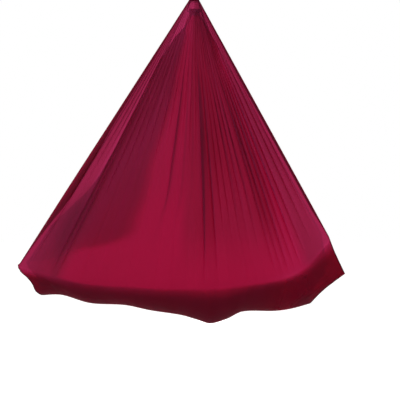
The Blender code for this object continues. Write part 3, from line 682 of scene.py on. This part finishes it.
def buildStrap(side, y, webbing, thread, seed):
    s, t = strapShape, stitchShape
    line, joinBottom, pitch = strapLine()
    line = softened(evenly(line, s["pitch"], True), s["softening"], True)
    strap = sweepWebbing(side + "_strap_webbing", line, True, y, s["width"], s["thick"], seed)
    face = s["layer"] / 2 + s["thick"] / 2 + t["radius"] * t["sunk"]
    turns = t["tackTurns"]
    tacks = [[(x, y + t["tackWidth"] * (0.5 if i % 2 else -0.5),
               joinBottom + pitch * number + t["tackHeight"] * (i / turns - 0.5)) for i in range(turns + 1)]
             for number in range(s["pockets"] + 1) for x in (-face, face)]
    stitches = tubeMesh(side + "_strap_tacks", tacks, t["radius"], t["sides"])
    dressPiece(strap, webbing, "hammock", "webbing", side + "_daisy_strap")
    dressPiece(stitches, thread, "hammock", "webbing")


slingShape = {
    "width": 0.02, "thick": 0.0027, "top": -0.464467, "low": -0.5487, "halfFlat": 0.032,
    "corner": 0.007, "cornerSteps": 12, "layer": 0.003, "pitch": 0.0018,
    "overlap": (0.2, 0.8),  # the sewn joint, along the foot flank
    "lapOut": 1.45,  # the lap's middle, in layers
    "lapWidth": 0.97, "lapSteps": 30, "seamInset": (0.004, 0.003), "seamPitch": 0.0011,
    "seamBeads": (1.35, 0.65),  # the thread's radius, thick and thin in turn
}


def slingLine(offset):
    # a belt round the carabiner's bar and the channel's two corners, anticlockwise
    s = slingShape
    wheels = [(0, s["top"], strapShape["barRadius"]), (-s["halfFlat"], s["low"], s["corner"]),
              (s["halfFlat"], s["low"], s["corner"])]
    line, normals = [], []
    for (x0, z0, r0), (x1, z1, r1) in zip(wheels, wheels[1:] + wheels[:1]):
        normals.append(math.atan2(x0 - x1, z1 - z0) + math.asin((r0 - r1) / math.hypot(x1 - x0, z1 - z0)))
    for i, (x, z, radius) in enumerate(wheels):
        start, end = normals[i - 1], normals[i]
        while end < start:
            end += 2 * math.pi
        line += [(x + (radius + offset) * math.cos(angle), z + (radius + offset) * math.sin(angle))
                 for angle in np.linspace(start, end, s["cornerSteps"] + 1)]
    return line


def buildSling(side, y, webbing, thread, seed):
    s, t = slingShape, stitchShape
    line = evenly(slingLine(s["layer"] / 2), s["pitch"], True)
    sling = sweepWebbing(side + "_sling_webbing", line, True, y, s["width"], s["thick"], seed)
    # the webbing's end is laid over itself and sewn down on the foot flank
    outer = np.array(slingLine(s["layer"] * s["lapOut"]))
    top, low = outer[s["cornerSteps"]], outer[s["cornerSteps"] + 1]
    start, end = s["overlap"]
    flank = np.array([blendTo(top, low, share) for share in np.linspace(start, end, s["lapSteps"])])
    lap = sweepWebbing(side + "_sling_lap", flank, False, y, s["width"] * s["lapWidth"], s["thick"], seed + 5)
    run = unitLength(low - top)
    out = np.array([run[1], -run[0]])
    centre = blendTo(top, low, (start + end) / 2) + out * (s["thick"] / 2 + t["radius"] * t["sunk"])
    half = np.linalg.norm(low - top) * (end - start) / 2 - s["seamInset"][0]
    wide = s["width"] / 2 - s["seamInset"][1]
    corners = [(-half, -wide), (half, -wide), (half, wide), (-half, wide), (-half, -wide), (half, wide),
               (half, -wide), (-half, wide)]  # a box with a cross in it
    box = evenly([(centre[0] + run[0] * a, y + b, centre[1] + run[1] * a) for a, b in corners], s["seamPitch"])
    sewing = tubeMesh(side + "_sling_sewing", [box], t["radius"] * np.resize(s["seamBeads"], len(box)), t["sides"])
    dressPiece(sling, webbing, "hammock", "webbing", side + "_sling")
    dressPiece(lap, webbing, "hammock", "webbing")
    dressPiece(sewing, thread, "hammock", "webbing")


neckSewing = {
    "radius": 0.00055, "sides": 6, "heights": (-0.5746, -0.579), "half": 0.0225,
    "bins": 44,  # places along the neck at which the cloth's face is found
    "binReach": 0.0006, "steadyEnds": 4, "stitch": 0.0026, "gap": 0.0009, "inset": 0.001,
    "steps": 6,
    "lift": (1.6, 0.3),  # how far a stitch rises off the cloth and starts in it, in radii
    "uneven": (0.0002, 4000),  # how far the stitches stand out of line, and how often
}


def buildNeckSewing(side, y, neck, thread):
    # rows of stitches close the channel round the sling, on both faces of the gathered cloth
    s = neckSewing
    upper, lower = neck
    edges = np.linspace(-s["half"], s["half"], s["bins"] + 1)
    middles = (edges[1:] + edges[:-1]) / 2
    lift = s["radius"] * (np.sin(np.linspace(0, math.pi, s["steps"])) * s["lift"][0] - s["lift"][1])
    ends = s["steadyEnds"]
    stitches = []
    for height in s["heights"]:
        share = (height - upper[:, 2]) / (lower[:, 2] - upper[:, 2])
        cloth = blendTo(upper, lower, share[:, None])
        for face in (-1.0, 1):
            line = []
            for low, high in zip(edges[:-1] - s["binReach"], edges[1:] + s["binReach"]):
                here = cloth[(cloth[:, 0] >= low) & (cloth[:, 0] <= high), 1]
                line.append(face * np.max(face * here) if len(here) else np.nan)
            line = np.array(line)
            line = np.interp(middles, middles[~np.isnan(line)], line[~np.isnan(line)])
            line[ends:-ends] = np.median([np.roll(line, step)[ends:-ends] for step in range(-2, 3)], axis=0)
            x = edges[0] + s["inset"]
            while x + s["stitch"] < edges[-1]:
                xs = np.linspace(x, x + s["stitch"], s["steps"])
                zs = np.full(s["steps"], height + s["uneven"][0] * math.sin(x * s["uneven"][1]))
                stitches.append(np.stack([xs, np.interp(xs, middles, line) + face * lift, zs], axis=1))
                x += s["stitch"] + s["gap"]
    sewing = tubeMesh(side + "_neck_sewing", stitches, s["radius"], s["sides"])
    dressPiece(sewing, thread, "hammock", "tricot")


screwShape = {
    "core": 0.004, "ridge": 0.0006, "sides": 5, "pitch": 0.0026, "from": 0.006, "tip": 0.002,
    "steps": 18,  # in one turn
    "runsIn": (18, 12, 0.1),  # steps over which the ridge starts and ends, and what is left of it at the tip
}


def buildScrewThreads(side, zinc):
    # each ceiling screw is cut with a coarse thread above its plate
    s = screwShape
    startSteps, endSteps, left = s["runsIn"]
    lines = []
    for number in range(1, 5):
        low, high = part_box(f"{side}_ceiling_screw_{number}")
        x, y = (low[0] + high[0]) / 2, (low[1] + high[1]) / 2
        total = (high[2] - s["tip"] - s["from"]) / s["pitch"] * s["steps"]
        line = []
        for i in range(int(total) + 1):
            angle = 2 * math.pi * i / s["steps"]
            radius = s["core"] - s["ridge"] * (1.0 - min(1, i / startSteps, (total - i) / endSteps + left))
            line.append((x + radius * math.cos(angle), y + radius * math.sin(angle),
                         s["from"] + s["pitch"] * i / s["steps"]))
        lines.append(line)
    ridges = tubeMesh(side + "_screw_threads", lines, s["ridge"], s["sides"])
    dressPiece(ridges, zinc, "ceiling", "zinc")


weldShape = {
    "footX": 0.02, "height": -0.0056, "ring": 0.0058, "bead": 0.0013, "sides": 8, "steps": 68,
    "ripple": (0.0003, 17),  # sideways and up: how far, and how many to a turn
    "rippleUp": (0.00015, 23),
}


def buildWelds(side, y, powder):
    # a ripple of weld round each foot of the eye
    w = weldShape
    turn = np.linspace(0, 2 * math.pi, w["steps"] + 1)[:-1]
    ring = w["ring"] + w["ripple"][0] * np.sin(turn * w["ripple"][1])
    z = w["height"] - w["rippleUp"][0] * np.sin(turn * w["rippleUp"][1])
    rows = [np.stack([x + ring * np.cos(turn), y + ring * np.sin(turn), z], axis=1) for x in (-w["footX"], w["footX"])]
    welds = tubeMesh(side + "_eye_welds", rows, w["bead"], w["sides"], True)
    dressPiece(welds, powder, "ceiling", "powder_coat")


def newMaterial(name):
    material = bpy.data.materials.new(name)
    material.use_nodes = True
    material.node_tree.nodes.clear()
    return material, material.node_tree


def addNode(tree, kind, *sockets, **named):
    # sockets in their order or by name: another node's output is linked to one, anything else is its value
    node = tree.nodes.new("ShaderNode" + kind)
    for key, value in [*enumerate(sockets), *named.items()]:
        if isinstance(key, str) and hasattr(node, key):
            setattr(node, key, value)
            continue
        socket = node.inputs[key.replace("_", " ") if isinstance(key, str) else key]
        if isinstance(value, bpy.types.NodeSocket):
            tree.links.new(value, socket)
        else:
            socket.default_value = value
    return node


def addMath(tree, operation, *values, **named):
    return addNode(tree, "Math", *values, operation=operation, **named).outputs[0]


def addBands(tree, spot, direction, scale, distortion):
    return addNode(tree, "TexWave", wave_type="BANDS", bands_direction=direction, Vector=spot, Scale=scale,
                   Distortion=distortion).outputs["Fac"]


def scaled(tree, spot, scale):
    return addNode(tree, "Mapping", Vector=spot, Scale=scale).outputs[0]


noiseSpan = (0.3, 0.7)  # most of what a noise gives lies between these


def addNoise(tree, spot, scale, detail=2.0):
    return addNode(tree, "TexNoise", Vector=spot, Scale=scale, Detail=detail).outputs["Fac"]


def addRamp(tree, factor, *stops):
    # each stop: its place and its colour
    node = addNode(tree, "ValToRGB", Fac=factor)
    elements = node.color_ramp.elements
    for place, _ in stops[1:-1]:
        elements.new(place)
    for element, (place, colour) in zip(elements, stops):
        element.position = place
        element.color = (*colour, 1)
    return node.outputs["Color"]


def addRange(tree, value, fromMin, fromMax, toMin, toMax):
    return addNode(tree, "MapRange", Value=value, From_Min=fromMin, From_Max=fromMax,
                   To_Min=toMin, To_Max=toMax).outputs["Result"]


def addBump(tree, height, strength, distance):
    return addNode(tree, "Bump", Height=height, Strength=strength, Distance=distance).outputs["Normal"]


def addShades(tree, factor, colour, shades):
    # darker and lighter shades of one colour, each at its place
    return addRamp(tree, factor, *((place, [min(1, part * share) for part in colour]) for place, share in shades))


def closeMaterial(tree, shader):
    addNode(tree, "OutputMaterial", Surface=shader.outputs[0])


tricotFinish = {
    # share of the light that passes between the threads, and its colour: drawn thin, spread, bunched, doubled; the
    # bunched and doubled levels also give the painted shade
    "seeThrough": (0.97, 0.5, 0.24, 0.12),
    "threadTint": ((0.96, 0.76, 0.85), (0.64, 0.042, 0.165), (0.51, 0.012, 0.064), (0.3, 0.006, 0.032)),
    "glow": ((0.45, 0.032, 0.155), (0.45, 0.032, 0.155), (0.29, 0.018, 0.078), (0.115, 0.0052, 0.02)),
    "glowShare": 0.62, "surface": (0.135, 0.0112, 0.045), "shades": ((0.35, 0.86), (0.65, 1.14)),
    "cloudStretch": (5.0, 1.3, 1), "cloud": (2.2, 4.0), "patches": (0.93, 1.03),
    "wale": 0.0011,  # half of one rib of the knit
    "ribs": (0.159, 0.6),  # their scale, and how far they waver
    "ribStretch": 0.6, "bump": (0.25, 0.0004),
    "face": {"Roughness": 0.62, "Sheen_Weight": 0.06, "Sheen_Roughness": 0.45, "Sheen_Tint": (0.9, 0.35, 0.45, 1),
             "Specular_IOR_Level": 0.14},
}


def tricotMaterial():
    t = tricotFinish
    material, tree = newMaterial("wine_tricot")
    uv = addNode(tree, "UVMap", uv_map="cloth").outputs[0]
    ribs = addBands(tree, scaled(tree, uv, (1 / t["wale"], t["ribStretch"] / t["wale"], 1)), "X", *t["ribs"])
    cloud = addNoise(tree, scaled(tree, uv, t["cloudStretch"]), *t["cloud"])
    face = addNode(tree, "BsdfPrincipled", Base_Color=addShades(tree, cloud, t["surface"], t["shades"]),
                   Normal=addBump(tree, ribs, *t["bump"]), **t["face"])
    # how closely the threads lie, with its painted shade, from -1 to 2, picks a tint, a glow and a share of clear
    # cloth
    gatherAndShade = addNode(tree, "Attribute", attribute_name="gatherAndShade").outputs["Fac"]
    place = addRange(tree, gatherAndShade, -1.0, 2.0, 0, 1)
    clearShares = [(share, share, share) for share in t["seeThrough"]]
    tint, glowTint, share = (addRamp(tree, place, *zip((0, 1 / 3, 2 / 3, 1), colours))
                             for colours in (t["threadTint"], t["glow"], clearShares))
    glow = addNode(tree, "BsdfTranslucent", Color=glowTint)
    body = addNode(tree, "MixShader", t["glowShare"], face.outputs[0], glow.outputs[0])
    clear = addNode(tree, "BsdfTransparent", Color=tint)
    patches = addRange(tree, cloud, *noiseSpan, *t["patches"])
    weave = addMath(tree, "MULTIPLY", share, patches, use_clamp=True)
    closeMaterial(tree, addNode(tree, "MixShader", weave, body.outputs[0], clear.outputs[0]))
    return material


webbingFinish = {
    "colours": ((0, (0.018, 0.018, 0.021)), (0.8, (0.05, 0.05, 0.056))),  # painted shade deep in the weave, and the threads' colour on top of it
    "pitch": (("Y", 0.0050265), ("X", 0.0034558)),  # between ribs along the webbing and between picks across it
    "waver": 0.25,
    "fuzz": (900.0, 0.25),  # its scale and height
    "bump": (0.7, 0.0004), "face": {"Roughness": 0.82, "Sheen_Weight": 0.2},
}


def webbingMaterial():
    w = webbingFinish
    material, tree = newMaterial("black_webbing")
    uv = addNode(tree, "UVMap", uv_map="cloth").outputs[0]
    # at a scale of 1 the bands are pi / 10 apart
    weave = addMath(tree, "MULTIPLY", *(addBands(tree, uv, direction, math.pi / 10 / pitch, w["waver"])
                                        for direction, pitch in w["pitch"]))
    fuzz = addNoise(tree, uv, w["fuzz"][0])
    height = addMath(tree, "MULTIPLY_ADD", fuzz, w["fuzz"][1], weave)
    closeMaterial(tree, addNode(tree, "BsdfPrincipled", Base_Color=addRamp(tree, height, *w["colours"]),
                                Normal=addBump(tree, height, *w["bump"]), **w["face"]))
    return material


threadFinish = {
    "grey_thread": (0.1, 0.1, 0.11), "wine_thread": (0.16, 0.008, 0.026),
    "shades": ((0, 0.6), (1, 1)), "twist": 1600.0, "rough": 0.6, "bump": (0.4, 0.0002),
}


def threadMaterial(name):
    t = threadFinish
    material, tree = newMaterial(name)
    twist = addNoise(tree, addNode(tree, "TexCoord").outputs["Object"], t["twist"])
    closeMaterial(tree, addNode(tree, "BsdfPrincipled", Base_Color=addShades(tree, twist, t[name], t["shades"]),
                                Roughness=t["rough"], Normal=addBump(tree, twist, *t["bump"])))
    return material


metalFinish = {
    "satin_steel": {"colour": (0.4, 0.405, 0.42), "rough": (0.26, 0.42), "grain": (900, 60, 900), "bump": 0.05},
    "dark_anodising": {"colour": (0.075, 0.075, 0.085), "rough": (0.3, 0.42), "grain": (500, 500, 500), "bump": 0.04},
    "bright_zinc": {"colour": (0.42, 0.43, 0.45), "rough": (0.32, 0.55), "grain": (260, 260, 260), "bump": 0.1},
    "smear": (70.0, 5.0),  # its scale and detail
    "shades": ((0.3, 0.8), (0.7, 1.1)), "grainDetail": 3.0, "bumpHeight": 0.0003,
}
powderFinish = {
    "colours": ((0.35, (0.028, 0.028, 0.031)), (0.72, (0.045, 0.045, 0.048))),
    "dust": (45.0, 6.0),  # scale and detail of its dust and of its orange peel
    "peel": (850.0, 1.5), "bump": (0.22, 0.0003), "rough": 0.46,
}
metalEdges = {
    "angle": 38,  # degrees between faces from which an edge stays sharp
    "weld": 0.000005,
}


def metalMaterial(name):
    m = metalFinish[name]
    material, tree = newMaterial(name)
    spot = addNode(tree, "TexCoord").outputs["Object"]
    grain = addNoise(tree, scaled(tree, spot, m["grain"]), 1, metalFinish["grainDetail"])
    tone = addShades(tree, addNoise(tree, spot, *metalFinish["smear"]), m["colour"], metalFinish["shades"])
    closeMaterial(tree, addNode(tree, "BsdfPrincipled", Base_Color=tone, Metallic=1.0,
                                Roughness=addRange(tree, grain, *noiseSpan, *m["rough"]),
                                Normal=addBump(tree, grain, m["bump"], metalFinish["bumpHeight"])))
    return material


def powderMaterial():
    p = powderFinish
    material, tree = newMaterial("satin_powder_coat")
    spot = addNode(tree, "TexCoord").outputs["Object"]
    tone = addRamp(tree, addNoise(tree, spot, *p["dust"]), *p["colours"])
    bump = addBump(tree, addNoise(tree, spot, *p["peel"]), *p["bump"])
    closeMaterial(tree, addNode(tree, "BsdfPrincipled", Base_Color=tone, Normal=bump, Roughness=p["rough"]))
    return material


def smoothNode(node):
    # turned and bent metal is shaded round, and keeps its sharp edges
    mesh = node.data
    for name in ("custom_normal", "sharp_edge"):
        if name in mesh.attributes:
            mesh.attributes.remove(mesh.attributes[name])
    mesh.polygons.foreach_set("use_smooth", [True] * len(mesh.polygons))
    node.modifiers.new("weld", "WELD").merge_threshold = metalEdges["weld"]
    edges = node.modifiers.new("edges", "EDGE_SPLIT")
    edges.split_angle = math.radians(metalEdges["angle"])
    edges.use_edge_sharp = False
    node.modifiers.new("even", "WEIGHTED_NORMAL").keep_sharp = True


# pale floor under the hammock and the soft light round it
stageSetup = {
    "floorHeight": -2.73, "floorHalf": 9.0, "floorColour": (0.86, 0.86, 0.86),
    "floorShades": ((0, 0.99), (1, 1)), "floorCloud": 3.0, "floorRough": 0.9,
    "floorGlow": 0.55,  # added where it is seen directly, so that the lit floor is white
    "worldLevel": 0.55,  # what lights the object
    "aim": (-0.1, 0, -1.6),
    "lamps": {
        "key": {"place": (-2.6, -4.2, 1.6), "size": 2.6, "power": 150.0},
        "back": {"place": (0.5, 4.6, -0.4), "size": 3.4, "power": 210.0},
    },
}


def seenDirectly(tree):
    # 1 for rays from the camera, from a mirror or through glass
    path = addNode(tree, "LightPath").outputs
    straight = addMath(tree, "MAXIMUM", path["Is Camera Ray"], path["Is Glossy Ray"])
    return addMath(tree, "MAXIMUM", straight, path["Is Transmission Ray"])


def buildStage():
    g = stageSetup
    mesh = bpy.data.meshes.new("floor")
    h = g["floorHalf"]
    mesh.from_pydata([(-h, -h, 0), (h, -h, 0), (h, h * 3, 0), (-h, h * 3, 0)], [], [(0, 1, 2, 3)])
    floor = linkObject("floor", mesh)
    floor.location.z = g["floorHeight"]
    material, tree = newMaterial("pale_floor")
    noise = addNode(tree, "TexNoise", Scale=g["floorCloud"]).outputs["Fac"]
    tone = addShades(tree, noise, g["floorColour"], g["floorShades"])
    face = addNode(tree, "BsdfPrincipled", Base_Color=tone, Roughness=g["floorRough"])
    glow = addNode(tree, "Emission", Strength=addMath(tree, "MULTIPLY", seenDirectly(tree), g["floorGlow"]))
    closeMaterial(tree, addNode(tree, "AddShader", face.outputs[0], glow.outputs[0]))
    mesh.materials.append(material)

    world = bpy.data.worlds.new("studio")
    bpy.context.scene.world = world
    world.use_nodes = True
    tree = world.node_tree
    tree.nodes.clear()
    level = addRange(tree, seenDirectly(tree), 0, 1, g["worldLevel"], 1)
    back = addNode(tree, "Background", Color=(1, 1, 1, 1), Strength=level)
    addNode(tree, "OutputWorld", Surface=back.outputs[0])

    for name, values in g["lamps"].items():
        lamp = bpy.data.lights.new(name, "AREA")
        lamp.shape, lamp.size, lamp.energy = "SQUARE", values["size"], values["power"]
        obj = linkObject(name, lamp)
        obj.location = values["place"]
        obj.rotation_euler = (Vector(g["aim"]) - Vector(values["place"])).to_track_quat("-Z", "Y").to_euler()


# level with the middle of the fan, square to the wide side
cameraSetup = {
    "place": (0.031, -7.0, -1.613), "sensor": 36.0,
    "lens": 116.46,  # 1294 pixels for each unit of slope in a 400 pixel frame
}


def buildCamera():
    data = bpy.data.cameras.new("view")
    data.sensor_width = cameraSetup["sensor"]
    data.sensor_fit = "HORIZONTAL"
    data.lens = cameraSetup["lens"]
    camera = linkObject("view", data)
    camera.location = cameraSetup["place"]
    camera.rotation_euler = (math.pi / 2, 0, 0)
    bpy.context.scene.camera = camera
    bpy.context.scene.view_settings.view_transform = "Standard"


buildCamera()
buildStage()
print("camera and stage ready")

cloth, necks = buildSheet()
cloth.data.materials.append(tricotMaterial())
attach(cloth, "hammock")
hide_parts("hammock_sheet")
print("cloth:", len(cloth.data.vertices), "points,", len(cloth.data.polygons), "faces")

webbing = webbingMaterial()
greyThread, wineThread = threadMaterial("grey_thread"), threadMaterial("wine_thread")
steel, anodising, zinc = (metalMaterial(name) for name in ("satin_steel", "dark_anodising", "bright_zinc"))
powder = powderMaterial()
for side, y, seed in (("near", -strapShape["sideY"], 3), ("far", strapShape["sideY"], 4)):
    buildStrap(side, y, webbing, greyThread, seed)
    buildSling(side, y, webbing, greyThread, seed + 20)
    buildNeckSewing(side, y, necks[side], wineThread)
    buildWelds(side, y, powder)
    buildScrewThreads(side, zinc)
print("straps, slings and sewing ready")

for name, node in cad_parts.items():
    if "washer" in name or "screw" in name:
        finish = zinc
    elif "bracket" in name:
        finish = powder
    elif name.endswith("_gate"):
        finish = anodising
    else:
        finish = steel
    for place in node.material_slots:
        place.material = finish
    smoothNode(node)
print("hardware finished")
